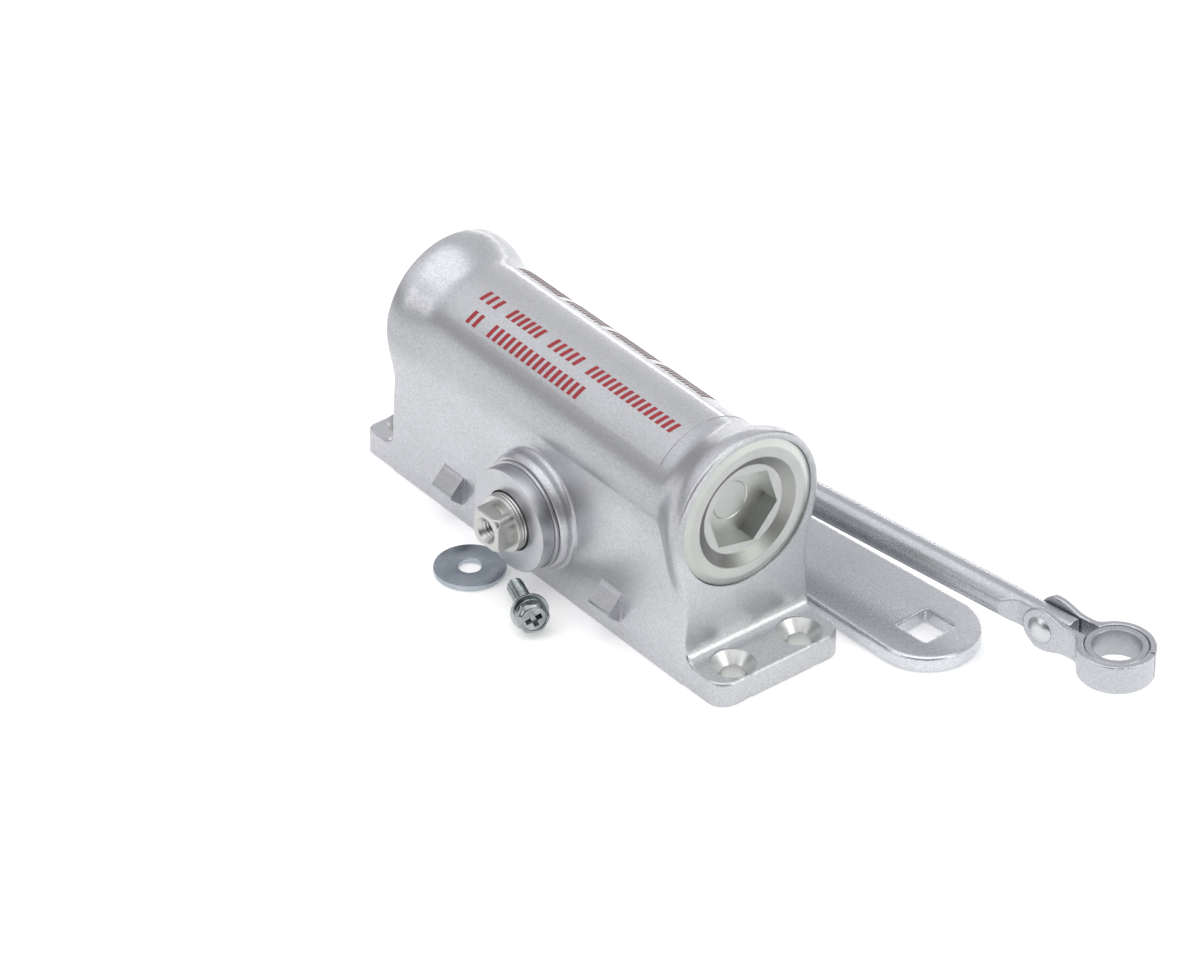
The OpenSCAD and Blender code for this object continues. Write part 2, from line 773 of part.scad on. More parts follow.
body_casting();
right_end_plug();
left_end_plug();
right_plug_seal();
left_plug_seal();
piston();
piston_ring();
check_ball();
check_retainer();
closing_spring();
pinion_spindle();
front_bearing();
rear_bearing();
spindle_seal();
spindle_cap();
cap_seal();
closing_valve();
latching_valve();
valve_seals();
label_film();
main_arm();
elbow_washer();
forearm_rod();
knuckle_strap();
eye_bushing();
knuckle_rivet();
spindle_washer();
spindle_screw();
lock_washer();
screw_washer();
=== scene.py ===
import math

import bpy
import numpy as np
from mathutils import Matrix, Vector


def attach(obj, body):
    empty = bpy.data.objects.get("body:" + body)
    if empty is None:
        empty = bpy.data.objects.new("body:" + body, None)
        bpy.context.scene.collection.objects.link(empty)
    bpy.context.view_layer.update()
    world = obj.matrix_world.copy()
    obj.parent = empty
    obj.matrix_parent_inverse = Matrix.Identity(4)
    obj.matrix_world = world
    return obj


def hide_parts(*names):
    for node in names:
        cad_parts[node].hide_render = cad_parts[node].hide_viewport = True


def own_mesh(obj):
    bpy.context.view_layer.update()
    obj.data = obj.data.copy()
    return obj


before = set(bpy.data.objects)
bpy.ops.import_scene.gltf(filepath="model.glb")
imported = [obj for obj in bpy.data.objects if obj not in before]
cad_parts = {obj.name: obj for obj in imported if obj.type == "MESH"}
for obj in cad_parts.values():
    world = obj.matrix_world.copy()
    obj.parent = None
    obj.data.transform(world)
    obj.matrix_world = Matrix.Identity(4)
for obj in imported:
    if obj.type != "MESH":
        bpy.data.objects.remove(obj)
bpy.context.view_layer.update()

MM = 0.001
COARSE = 1.0

# ---------------------------------------------------------------- sizes, in millimetres
WALL, FLANK, AXIS_H, BARREL_R = 53.0, 18.0, 38.5, 16.0
PLUG_RIM, VALVE_RIM = 19.8, 18.7
FOOT_T, FOOT_END, VALVE_FOOT_END = 6.2, 65.6, 63.4
HOLE_Y, HOLE_R = 9.5, 2.75
HOLE_ROWS = ((60.0, 5.2), (60.0 - 118.2, 4.7))     # each row's place along X and its countersink's radius
LEAN, LEAN_FROM = math.radians(8.3), 26.0          # the flanks lean in above this height
BORE_R, FLANGE_SEAT, PLUG_R, VALVE_PLUG_R = 13.5, 49.8, 18.0, 17.0
SPINDLE_H = 18.0
BOSS_R, BOSS_FACE = 13.9, 20.5
LUG_X, LUG_HALF_L, LUG_TOP, LUG_FOOT, LUG_OUT = (-29.6, 27.5), 3.6, 11.7, 4.5, 3.5
VALVE_Y, VALVE_H, VALVE_BORE_R = 7.0, 12.4, 3.05
LEDGE_X, LEDGE_R, RECESS_R = 51.2, 11.0, 13.6      # the ring-shaped ledge round the plug's socket
SOCKET_HALF, SOCKET_FLOOR, SOCKET_TURN = 8.65, 46.8, math.radians(-42)
COLLAR_R, COLLAR_END, HEAD_R, HEAD_END, SQUARE_HALF = 6.9, 27.3, 5.6, 31.4, 4.35
TEETH, ROOT_R, TIP_R = 15, 7.85, 10.55
ARM_ANGLE, ROD_ANGLE = math.radians(4.4), math.radians(8.2)
HOLE = (73.4, 34.7)
ARM_L, ARM_T, ARM_R, ELBOW_R = 90.0, 4.0, 12.5, 9.5
ELBOW = (HOLE[0] - ARM_L * math.cos(ARM_ANGLE), HOLE[1] - ARM_L * math.sin(ARM_ANGLE))
ROD_Z, ROD_R, BEND_R = 16.7, 3.75, 8.0
PIN_R, PIN_END, SHOULDER = 2.75, 0.2, 5.1          # the rod's pin, down to its peened end
TANG_HALF, TANG_START, TANG_END = 1.9, 112.4, 126.6
RIVET_S, EYE_S = 120.0, 138.5
STRAP_T, STRAP_HALF_H, CHEEK_GAP, LOOP_R = 1.5, 3.6, 2.2, 7.2
WASHER = (-10.35, -28.1)
SCREW_TIP, SCREW_HEADING, SCREW_L = (2.51, -25.39), math.radians(-24), 15.7
SCREW_R, SCREW_HEAD_H, SCREW_HEAD_HALF = 2.0, 2.8, 3.5
LOCK_WASHER_T, PLAIN_WASHER_T, PLAIN_WASHER_R = 1.1, 0.8, 4.4
SPRING_X, SPRING_R, WIRE_R, COILS = (6.1, 43.9), 11.5, 1.4, 4.5

EDGE_ANGLE = math.radians(32)                      # steeper edges than this are shaded sharp
NOWHERE = 5.0                                      # a distance well outside a shape

# ---------------------------------------------------------------- shape functions


def smin(a, b, k):
    h = np.maximum(k - np.abs(a - b), 0) / k
    return np.minimum(a, b) - h * h * k / 4


def smax(a, b, k):
    return -smin(-a, -b, k)


def cut(a, b):
    return np.maximum(a, -b)


def between(t, lo, hi):
    return np.abs(t - (lo + hi) / 2) - (hi - lo) / 2


def hexagon(p, q, turn):
    """The distance of (p, q) from the centre, measured square to the nearest of six flats."""
    angles = [turn + math.radians(60 * k) for k in range(3)]
    return np.max([np.abs(p * math.cos(a) + q * math.sin(a)) for a in angles], axis=0)


def rotated(p, q, angle):
    c, s = math.cos(angle), math.sin(angle)
    return p * c + q * s, -p * s + q * c


def rounded_rect(x, y, hx, hy, r):
    qx, qy = np.abs(x) - hx + r, np.abs(y) - hy + r
    return np.hypot(np.maximum(qx, 0), np.maximum(qy, 0)) + np.minimum(np.maximum(qx, qy), 0) - r


def contour(f, lo, hi, step):
    """Turns a distance function into a mesh that keeps its sharp edges (dual contouring)."""
    lo, hi = np.array(lo, float), np.array(hi, float)
    step = step * COARSE
    n = np.ceil((hi - lo) / step).astype(int) + 1
    axes = [lo[i] + step * np.arange(n[i]) for i in range(3)]
    grid = f(*np.meshgrid(*axes, indexing="ij"))
    inside = grid < 0
    cells = tuple(n - 1)
    total = int(np.prod(cells))
    sums = np.zeros((13, total))
    quads = []
    eps = step * 0.05

    def gradient(p):
        g = np.stack([f(*(p + np.eye(3)[a] * eps).T) - f(*(p - np.eye(3)[a] * eps).T) for a in range(3)], 1)
        return g / np.maximum(np.linalg.norm(g, axis=1, keepdims=True), 1e-9)

    for a in range(3):
        b, c = (a + 1) % 3, (a + 2) % 3
        first = [slice(None)] * 3
        second = [slice(None)] * 3
        first[a], second[a] = slice(0, -1), slice(1, None)
        ijk = np.argwhere(inside[tuple(first)] != inside[tuple(second)])
        ok = (ijk[:, b] > 0) & (ijk[:, c] > 0) & (ijk[:, b] < n[b] - 1) & (ijk[:, c] < n[c] - 1)
        ijk = ijk[ok]
        far = ijk.copy()
        far[:, a] += 1
        d0, d1 = grid[tuple(ijk.T)], grid[tuple(far.T)]
        p0 = lo + step * ijk
        t0, t1 = np.zeros(len(ijk)), np.ones(len(ijk))
        for _ in range(4):
            t = t0 + (t1 - t0) * np.clip(d0 / (d0 - d1), 0.02, 0.98)
            p = p0.copy()
            p[:, a] += t * step
            d = f(*p.T)
            same = (d < 0) == (d0 < 0)
            t0, d0 = np.where(same, t, t0), np.where(same, d, d0)
            t1, d1 = np.where(same, t1, t), np.where(same, d1, d)
        normal = gradient(p)
        dist = np.sum(normal * p, 1)
        parts = [normal[:, i] * normal[:, j] for i, j in ((0, 0), (0, 1), (0, 2), (1, 1), (1, 2), (2, 2))]
        parts += [normal[:, i] * dist for i in range(3)] + [p[:, i] for i in range(3)] + [np.ones(len(p))]
        ring = []
        for db, dc in ((-1, -1), (0, -1), (0, 0), (-1, 0)):
            cell = ijk.copy()
            cell[:, b] += db
            cell[:, c] += dc
            flat = np.ravel_multi_index(cell.T, cells)
            ring.append(flat)
            for i, w in enumerate(parts):
                sums[i] += np.bincount(flat, w, total)
        ring = np.stack(ring, 1)
        flip = ~inside[tuple(ijk.T)]
        ring[flip] = ring[flip][:, ::-1]
        quads.append(ring)

    used = np.flatnonzero(sums[12] > 0)
    s = sums[:, used]
    count = s[12]
    mean = (s[9:12] / count).T
    m = np.empty((len(used), 3, 3))
    for k, (i, j) in enumerate(((0, 0), (0, 1), (0, 2), (1, 1), (1, 2), (2, 2))):
        m[:, i, j] = m[:, j, i] = s[k]
    rhs = s[6:9].T - np.einsum("nij,nj->ni", m, mean)
    m[:, range(3), range(3)] += 0.03 * count[:, None]
    move = np.linalg.solve(m, rhs[..., None])[..., 0]
    verts = mean + np.clip(move, -step, step)
    index = np.full(total, -1)
    index[used] = np.arange(len(used))
    return verts, index[np.concatenate(quads)]


def add_mesh(name, verts, faces, material):
    mesh = bpy.data.meshes.new(name)
    verts = np.asarray(verts, float) * MM
    faces = [tuple(int(i) for i in q) for q in faces]
    mesh.from_pydata([tuple(v) for v in verts], [], faces)
    mesh.validate()
    mesh.update()
    mesh.shade_smooth()
    mesh.set_sharp_from_angle(angle=EDGE_ANGLE)
    mesh.materials.append(material)
    obj = bpy.data.objects.new(name, mesh)
    bpy.context.collection.objects.link(obj)
    return obj


def piece(name, node, body, slot, verts, faces, material):
    """A look on one body of the frame. Without a node it is added to what the CAD has."""
    obj = add_mesh(name, verts, faces, material)
    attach(obj, body)
    if node:
        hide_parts(node)
    return obj


def lathe(profile, segments):
    """Closed ring or solid from (radius, height) points, turned about the third axis."""
    segments = max(32, int(segments / COARSE))
    turns = [2 * math.pi * i / segments for i in range(segments)]
    verts, rows = [], []
    for r, h in profile:
        if r < 1e-6:
            rows.append([len(verts)] * segments)
            verts.append((0, 0, h))
        else:
            rows.append(list(range(len(verts), len(verts) + segments)))
            verts += [(r * math.cos(a), r * math.sin(a), h) for a in turns]
    closed = profile[0][0] > 1e-6
    faces = []
    pairs = list(zip(rows, rows[1:])) + ([(rows[-1], rows[0])] if closed else [])
    for lower, upper in pairs:
        for i in range(segments):
            j = (i + 1) % segments
            ring = []
            for v in (lower[i], lower[j], upper[j], upper[i]):
                if v not in ring:
                    ring.append(v)
            if len(ring) > 2:
                faces.append(ring)
    return np.array(verts, float), faces


def soften(profile, r):
    """Rounds the corners of a closed profile by r, or by less where its sides are short."""
    out = []
    for i, p in enumerate(profile):
        p = np.array(p, float)
        a, b = np.array(profile[i - 1], float), np.array(profile[(i + 1) % len(profile)], float)
        la, lb = np.linalg.norm(a - p), np.linalg.norm(b - p)
        k = min(r, la * 0.45, lb * 0.45)
        start, end = p + (a - p) / la * k, p + (b - p) / lb * k
        for t in np.linspace(0, 1, 4):
            out.append(tuple((1 - t) ** 2 * start + 2 * t * (1 - t) * p + t * t * end))
    return out


def placed(verts, matrix):
    m = np.array(matrix)
    return verts @ m[:3, :3].T + m[:3, 3]


def frame_to(origin, x, y, z):
    m = Matrix.Identity(4)
    for i, axis in enumerate((x, y, z)):
        for j in range(3):
            m[j][i] = axis[j]
    for j in range(3):
        m[j][3] = origin[j]
    return m


# turns a lathe's third axis to -Y, out of the spindle's side
OUT_OF_FLANK = frame_to((0, 0, SPINDLE_H), (1, 0, 0), (0, 0, 1), (0, -1, 0))

# ---------------------------------------------------------------- materials


def material(name):
    mat = bpy.data.materials.new(name)
    mat.use_nodes = True
    nodes, links = mat.node_tree.nodes, mat.node_tree.links
    nodes.clear()
    out = nodes.new("ShaderNodeOutputMaterial")
    bsdf = nodes.new("ShaderNodeBsdfPrincipled")
    links.new(bsdf.outputs[0], out.inputs["Surface"])
    return mat, nodes, links, bsdf


def noise(nodes, links, vector, scale, detail=3.0, rough=0.5):
    n = nodes.new("ShaderNodeTexNoise")
    n.inputs["Scale"].default_value = scale
    n.inputs["Detail"].default_value = detail
    n.inputs["Roughness"].default_value = rough
    links.new(vector, n.inputs["Vector"])
    return n.outputs["Fac"]


def ramp(nodes, links, fac, stops):
    r = nodes.new("ShaderNodeValToRGB")
    el = r.color_ramp.elements
    while len(el) < len(stops):
        el.new(0.5)
    for e, (pos, col) in zip(el, stops):
        e.position = pos
        e.color = (*col, 1)
    links.new(fac, r.inputs["Fac"])
    return r.outputs["Color"]


def remap(nodes, links, fac, lo, hi, a=0.0, b=1.0):
    m = nodes.new("ShaderNodeMapRange")
    for k, v in (("From Min", a), ("From Max", b), ("To Min", lo), ("To Max", hi)):
        m.inputs[k].default_value = v
    links.new(fac, m.inputs["Value"])
    return m.outputs["Result"]


def math_node(nodes, links, op, a, b=None):
    m = nodes.new("ShaderNodeMath")
    m.operation = op
    for i, v in enumerate((a, b)):
        if v is None:
            continue
        if isinstance(v, (int, float)):
            m.inputs[i].default_value = v
        else:
            links.new(v, m.inputs[i])
    return m.outputs[0]


def bump(nodes, links, height, distance, normal=None):
    b = nodes.new("ShaderNodeBump")
    b.inputs["Strength"].default_value = 1.0
    b.inputs["Distance"].default_value = distance
    links.new(height, b.inputs["Height"])
    if normal is not None:
        links.new(normal, b.inputs["Normal"])
    return b.outputs["Normal"]


def coords(nodes):
    return nodes.new("ShaderNodeTexCoord").outputs["Object"]


def multiplied(nodes, links, colour, factor):
    mix = nodes.new("ShaderNodeVectorMath")
    mix.operation = "SCALE"
    links.new(colour, mix.inputs[0])
    links.new(factor, mix.inputs["Scale"])
    return mix.outputs[0]


def band(nodes, links, value, lo, hi, soft, inside, outside=1.0):
    """A factor that is `inside` between lo and hi and `outside` elsewhere, with soft ends."""
    rise = remap(nodes, links, value, 0.0, 1.0, lo - soft, lo)
    fall = remap(nodes, links, value, 1.0, 0.0, hi, hi + soft)
    both = math_node(nodes, links, "MULTIPLY", rise, fall)
    return remap(nodes, links, both, outside, inside)


def axis_of(nodes, links, pos, name):
    sep = nodes.new("ShaderNodeSeparateXYZ")
    links.new(pos, sep.inputs[0])
    return sep.outputs[name]


def product(nodes, links, first, *rest):
    for factor in rest:
        first = math_node(nodes, links, "MULTIPLY", first, factor)
    return first


def shoulder_shade(nodes, links, pos, colour):
    """Painted shade: darker paint along the barrel's front shoulder, standing in for the shading there."""
    height, depth = axis_of(nodes, links, pos, "Z"), axis_of(nodes, links, pos, "Y")
    # painted shade: the paint darkens over a band of height, on the front side only
    painted_shade_band = band(nodes, links, height, 37.5 * MM, 43.0 * MM, 6.5 * MM, 0.80)
    front = remap(nodes, links, depth, 1.0, 0.0, -12.0 * MM, -6.0 * MM)
    loss = product(nodes, links, math_node(nodes, links, "SUBTRACT", 1.0, painted_shade_band), front)
    return multiplied(nodes, links, colour, math_node(nodes, links, "SUBTRACT", 1.0, loss))


def lug_shade(nodes, links, pos, colour):
    """Painted shade on the two lugs: darker paint on the part of the spindle's side that stands out from the
    flank.
    """
    x = math_node(nodes, links, "ABSOLUTE", axis_of(nodes, links, pos, "X"))
    near = band(nodes, links, x, 21.5 * MM, 35.0 * MM, 0.5 * MM, 1.0, 0.0)
    low = remap(nodes, links, axis_of(nodes, links, pos, "Z"), 1.0, 0.0, LUG_TOP * MM, (LUG_TOP + 0.4) * MM)
    proud = remap(nodes, links, axis_of(nodes, links, pos, "Y"), 1.0, 0.0,
                  -(FLANK + 0.4) * MM, -(FLANK + 0.1) * MM)
    on_lug = product(nodes, links, near, low, proud)
    # painted shade: the lugs' paint is made darker
    return multiplied(nodes, links, colour, remap(nodes, links, on_lug, 1.0, 0.84))


def silver_paint(name, tone, rough, coat, grain=1.0, body=False, along=None):
    """Metallic paint over a casting: bright and dark flakes, faint orange peel and slow mottling.

    The tone may change along X, as painted light. The body's paint also has painted shade in its darker
    places and bare screw holes with painted light."""
    mat, nodes, links, bsdf = material(name)
    pos = coords(nodes)
    slow = noise(nodes, links, pos, 60, 4)
    fine = noise(nodes, links, pos, 4200, 2, 0.6)
    flakes = nodes.new("ShaderNodeTexVoronoi")
    flakes.inputs["Scale"].default_value = 3600
    links.new(pos, flakes.inputs["Vector"])
    sep = nodes.new("ShaderNodeSeparateColor")
    links.new(flakes.outputs["Color"], sep.inputs[0])
    parts = ((slow, 0.35), (fine, 0.25), (sep.outputs[0], 0.40))
    mixed = None
    for fac, weight in parts:
        term = math_node(nodes, links, "MULTIPLY", fac, weight)
        mixed = term if mixed is None else math_node(nodes, links, "ADD", mixed, term)
    dark = tuple(c * (1 - 0.13 * grain) for c in tone)
    light = tuple(min(1, c * (1 + 0.15 * grain)) for c in tone)
    colour = ramp(nodes, links, mixed, ((0.25, dark), (0.75, light)))
    rough_value = remap(nodes, links, mixed, rough + 0.07, rough - 0.05, 0.3, 0.7)
    # painted light: the tone grows lighter along X
    if along:
        x = axis_of(nodes, links, pos, "X")
        colour = multiplied(nodes, links, colour, remap(nodes, links, x, *along))
    # painted shade on the shoulder and the lugs, and painted light in the bare screw holes
    if body:
        colour = shoulder_shade(nodes, links, pos, colour)
        colour = lug_shade(nodes, links, pos, colour)
        colour, rough_value = bare_holes_with_painted_light(nodes, links, pos, colour, rough_value)
    links.new(colour, bsdf.inputs["Base Color"])
    bsdf.inputs["Metallic"].default_value = 0.85
    bsdf.inputs["Coat Weight"].default_value = coat
    bsdf.inputs["Coat Roughness"].default_value = 0.12
    bsdf.inputs["Coat IOR"].default_value = 1.5
    links.new(rough_value, bsdf.inputs["Roughness"])
    n = bump(nodes, links, fine, 0.000005 * grain)
    n = bump(nodes, links, noise(nodes, links, pos, 420, 2), 0.000022, n)
    links.new(n, bsdf.inputs["Normal"])
    return mat


def bare_holes_with_painted_light(nodes, links, pos, colour, rough_value):
    """Bright bare metal where the four screw holes were countersunk after painting, made lighter still as
    painted light where the holes lie in shade.
    """
    sep = nodes.new("ShaderNodeSeparateXYZ")
    links.new(pos, sep.inputs[0])
    distance_y = math_node(nodes, links, "ABSOLUTE", sep.outputs["Y"])
    side = math_node(nodes, links, "SUBTRACT", distance_y, HOLE_Y * MM)
    widest = max(sink_r for cx, sink_r in HOLE_ROWS)
    nearest = None
    for cx, sink_r in HOLE_ROWS:
        along = math_node(nodes, links, "SUBTRACT", sep.outputs["X"], cx * MM)
        squares = [math_node(nodes, links, "MULTIPLY", v, v) for v in (along, side)]
        dist = math_node(nodes, links, "SQRT", math_node(nodes, links, "ADD", *squares))
        dist = math_node(nodes, links, "ADD", dist, (widest - sink_r) * MM)
        nearest = dist if nearest is None else math_node(nodes, links, "MINIMUM", nearest, dist)
    inside = remap(nodes, links, nearest, 1.0, 0.0, (widest - 0.1) * MM, widest * MM)
    low = remap(nodes, links, sep.outputs["Z"], 1.0, 0.0, (FOOT_T + 0.2) * MM, (FOOT_T + 0.4) * MM)
    mask = math_node(nodes, links, "MULTIPLY", inside, low)
    mix = nodes.new("ShaderNodeMix")
    mix.data_type = "RGBA"
    links.new(mask, mix.inputs["Factor"])
    paint, metal = [i for i in mix.inputs if i.type == "RGBA"]
    links.new(colour, paint)
    # painted light: a light bare metal colour over the countersinks and bores, where shade falls
    metal.default_value = (0.70, 0.71, 0.70, 1)
    mix_r = nodes.new("ShaderNodeMix")
    links.new(mask, mix_r.inputs["Factor"])
    links.new(rough_value, mix_r.inputs["A"])
    mix_r.inputs["B"].default_value = 0.33
    return [o for o in mix.outputs if o.type == "RGBA"][0], mix_r.outputs["Result"]


def turned_metal(name, tone, rough, centre=(0, 0, 0), axis=0, rings=1800, ring_depth=0.000004,
                 painted_shade_ring=None, across=None):
    """Machined or plated metal: fine rings about an axis, smudges and tiny scratches.

    The tone is one colour, or a dark and a light one. The painted shade ring is its inner and outer radius,
    its
    factor and its soft edge: a ring painted darker as shade. The tone may also change across Y, as painted
    light."""
    mat, nodes, links, bsdf = material(name)
    pos = coords(nodes)
    moved = nodes.new("ShaderNodeVectorMath")
    moved.operation = "SUBTRACT"
    moved.inputs[1].default_value = [c * MM for c in centre]
    links.new(pos, moved.inputs[0])
    keep = [1.0, 1.0, 1.0]
    keep[axis] = 0.0
    flat = nodes.new("ShaderNodeVectorMath")
    flat.operation = "MULTIPLY"
    flat.inputs[1].default_value = keep
    links.new(moved.outputs[0], flat.inputs[0])
    length = nodes.new("ShaderNodeVectorMath")
    length.operation = "LENGTH"
    links.new(flat.outputs[0], length.inputs[0])
    ring = nodes.new("ShaderNodeTexNoise")
    ring.noise_dimensions = "1D"
    ring.inputs["Scale"].default_value = rings
    ring.inputs["Detail"].default_value = 4
    links.new(length.outputs["Value"], ring.inputs["W"])
    smudge = noise(nodes, links, pos, 160, 4)
    fine = noise(nodes, links, pos, 1800, 2)
    tones = tone if isinstance(tone[0], tuple) else (tuple(c * 0.9 for c in tone), tone)
    colour = ramp(nodes, links, smudge, ((0.32, tones[0]), (0.68, tones[1])))
    # painted shade: a ring of the tone painted darker
    if painted_shade_ring:
        inner, outer, factor, soft = painted_shade_ring
        colour = multiplied(nodes, links, colour,
                            band(nodes, links, length.outputs["Value"], inner, outer, soft, factor))
    # painted light: the tone grows lighter across Y
    if across:
        y = axis_of(nodes, links, pos, "Y")
        colour = multiplied(nodes, links, colour, remap(nodes, links, y, *across))
    links.new(colour, bsdf.inputs["Base Color"])
    bsdf.inputs["Metallic"].default_value = 1.0
    total = math_node(nodes, links, "ADD", math_node(nodes, links, "MULTIPLY", ring.outputs["Fac"], 0.6),
                      math_node(nodes, links, "MULTIPLY", smudge, 0.4))
    links.new(remap(nodes, links, total, rough - 0.06, rough + 0.08, 0.3, 0.7), bsdf.inputs["Roughness"])
    n = bump(nodes, links, ring.outputs["Fac"], ring_depth)
    n = bump(nodes, links, fine, 0.000004, n)
    links.new(n, bsdf.inputs["Normal"])
    return mat


def soft_stuff(name, tone, rough, scale=900, depth=0.00002):
    """Rubber, plastic or print: non-metal with a fine grain."""
    mat, nodes, links, bsdf = material(name)
    pos = coords(nodes)
    grain = noise(nodes, links, pos, scale, 3)
    dark = tuple(c * 0.82 for c in tone)
    links.new(ramp(nodes, links, grain, ((0.3, dark), (0.7, tone))), bsdf.inputs["Base Color"])
    links.new(remap(nodes, links, grain, rough - 0.06, rough + 0.06, 0.3, 0.7), bsdf.inputs["Roughness"])
    links.new(bump(nodes, links, grain, depth), bsdf.inputs["Normal"])
    return mat


# the body's paint carries painted shade on its shoulder and lugs, and painted light in its screw holes
body_paint = silver_paint("body_paint", (0.525, 0.53, 0.556), rough=0.36, coat=0.30, body=True)
# painted light: the arm's paint grows lighter towards its square hole
arm_paint = silver_paint("arm_paint", (0.55, 0.56, 0.59), rough=0.30, coat=0.25, grain=0.9,
                         along=(0.97, 1.22, 0.045, 0.085))
rod_paint = silver_paint("rod_paint", (0.475, 0.485, 0.515), rough=0.30, coat=0.12, grain=0.8)
bushing_paint = silver_paint("bushing_paint", (0.42, 0.43, 0.455), rough=0.40, coat=0.05, grain=0.6)
film = silver_paint("film", (0.53, 0.535, 0.56), rough=0.36, coat=0.8, grain=0.9)
# painted shade on the recess cone, and painted light growing across Y
plug_steel = turned_metal("plug_steel", (0.58, 0.59, 0.575), 0.36, centre=(0, 0, AXIS_H), rings=2400,
                          ring_depth=0.000001, across=(0.87, 1.16, -15.0 * MM, 15.0 * MM),
                          painted_shade_ring=((LEDGE_R + 0.1) * MM, (RECESS_R - 0.1) * MM, 0.50, 0.3 * MM))
cap_metal = turned_metal("cap_metal", (0.52, 0.525, 0.55), 0.34, centre=(0, 0, SPINDLE_H), axis=1, rings=2400,
                         ring_depth=0.0000015)
spindle_steel = turned_metal("spindle_steel", (0.56, 0.56, 0.55), 0.32, centre=(0, 0, SPINDLE_H), axis=1,
                             rings=2000, ring_depth=0.000002)
zinc = turned_metal("zinc", ((0.34, 0.39, 0.43), (0.50, 0.55, 0.60)), 0.24, centre=(*WASHER, 0), axis=2,
                    rings=1400, ring_depth=0.000001)
screw_zinc = turned_metal("screw_zinc", ((0.14, 0.16, 0.16), (0.44, 0.48, 0.48)), 0.14,
                          centre=(*WASHER, 0), axis=2, rings=900, ring_depth=0.000001)
rivet_metal = turned_metal("rivet_metal", (0.62, 0.63, 0.65), 0.30, rings=1200)
iron = turned_metal("piston_iron", (0.36, 0.36, 0.37), 0.42, centre=(0, 0, AXIS_H), rings=2600)
spring_metal = turned_metal("spring_metal", (0.30, 0.31, 0.34), 0.36, centre=(0, 0, AXIS_H), rings=1500)
ball_steel = turned_metal("ball_steel", (0.78, 0.79, 0.81), 0.08, rings=800)
bronze = turned_metal("bronze", (0.60, 0.45, 0.26), 0.45, centre=(0, 0, SPINDLE_H), axis=1)
valve_brass = turned_metal("valve_brass", (0.78, 0.63, 0.32), 0.3)
rubber = soft_stuff("rubber", (0.035, 0.035, 0.037), 0.62)
ring_plastic = soft_stuff("ring_plastic", (0.62, 0.54, 0.38), 0.5)
print_red = soft_stuff("print_red", (0.36, 0.022, 0.030), 0.45, 3000, 0.000005)
print_dark = soft_stuff("print_dark", (0.10, 0.03, 0.03), 0.55, 3000, 0.000005)

# ---------------------------------------------------------------- casting


def swell(x):
    """The barrel's radius, which grows towards the rim at each end."""
    flare, rim_l = 11.0, 1.6
    end = np.where(x > 0, PLUG_RIM, VALVE_RIM)
    t = np.clip((np.abs(x) - (WALL - rim_l - flare)) / flare, 0, 1)
    return BARREL_R + (end - BARREL_R) * (1 - np.cos(np.pi * t)) / 2


def boss(x, y, z):
    taper = 1.5
    radius = BOSS_R - 0.7 * np.clip((-y - BOSS_FACE + taper) / taper, 0, 1)
    return smax(smax(np.hypot(x, z - SPINDLE_H) - radius, -y - BOSS_FACE, 0.5), y + 10, 0.5)


def lug(x, y, z, centre):
    """A ridge on the spindle's side that slopes out from above and from below to a narrow front edge."""
    out = -(y + FLANK)
    above, below = 3.6, 3.0
    upper = (out * above + (z - LUG_TOP) * LUG_OUT) / math.hypot(above, LUG_OUT)
    lower = (out * below - (z - LUG_FOOT) * LUG_OUT) / math.hypot(below, LUG_OUT)
    ridge = smax(smax(upper, lower, 0.15), np.abs(x - centre) - LUG_HALF_L, 0.2)
    ridge = smax(ridge, out - LUG_OUT + 0.1, 0.15)
    return np.maximum(ridge, -out - 2)


def bored(d, x, y, z):
    """Cuts the piston bore, the plug seats, the spindle's spaces, the foot holes and the valve bores."""
    rad, across = np.hypot(y, z - AXIS_H), np.hypot(x, z - SPINDLE_H)
    d = cut(d, rad - BORE_R)
    d = cut(d, np.maximum(rad - PLUG_R - 0.1, FLANGE_SEAT - x))
    d = cut(d, np.maximum(rad - VALVE_PLUG_R - 0.1, FLANGE_SEAT + x))
    for radius, back, front in ((11.0, 7.5, -10.5), (11.5, -9.5, -40.0), (9.05, 14.5, 5.5)):
        d = cut(d, np.maximum(across - radius, between(y, front, back)))
    for cx, sink_r in HOLE_ROWS:
        d = cut(d, np.hypot(x - cx, np.abs(y) - HOLE_Y) - sink_r - 0.15)
    valve = np.hypot(np.abs(y) - VALVE_Y, z - VALVE_H)
    d = cut(d, np.maximum(valve - VALVE_BORE_R, x + WALL - 19))
    return cut(d, np.maximum(valve - VALVE_BORE_R - 0.95, x + WALL - 1))


def casting(x, y, z):
    ax, ay = np.abs(x), np.abs(y)
    rad = np.hypot(y, z - AXIS_H)
    flank = smax(ay - FLANK, (ay - FLANK) * math.cos(LEAN) + (z - LEAN_FROM) * math.sin(LEAN), 5)
    above = (z - AXIS_H) * math.cos(LEAN) - ay * math.sin(LEAN)
    core = np.where(above > 0, rad - BARREL_R + 0.04 * above ** 2, flank)
    section = smin(rad - swell(x), core, 0.02 + 1.5 * (swell(x) - BARREL_R))
    upper = smax(section, ax - WALL, 0.8)
    outline = np.where(
        x > 0,
        rounded_rect(x - FOOT_END / 2, y, FOOT_END / 2, FLANK, 5),
        rounded_rect(x + VALVE_FOOT_END / 2, y, VALVE_FOOT_END / 2, FLANK, 3))
    step = smin(ax - WALL, z - FOOT_T, 3.8)
    lower = smax(smax(step, np.maximum(flank, z - AXIS_H), 0.9), outline, 1.1)
    d = np.maximum(np.minimum(upper, lower), -z)
    d = smin(d, boss(x, y, z), 1.3)
    for centre in LUG_X:
        d = smin(d, lug(x, y, z, centre), 0.25)
    return bored(d, x, y, z)


v, f = contour(casting, (-67, -22.5, -1), (67.5, 20.0, 59.5), 0.42)
v, f = [v], [list(q) for q in f]
count = len(v[0])
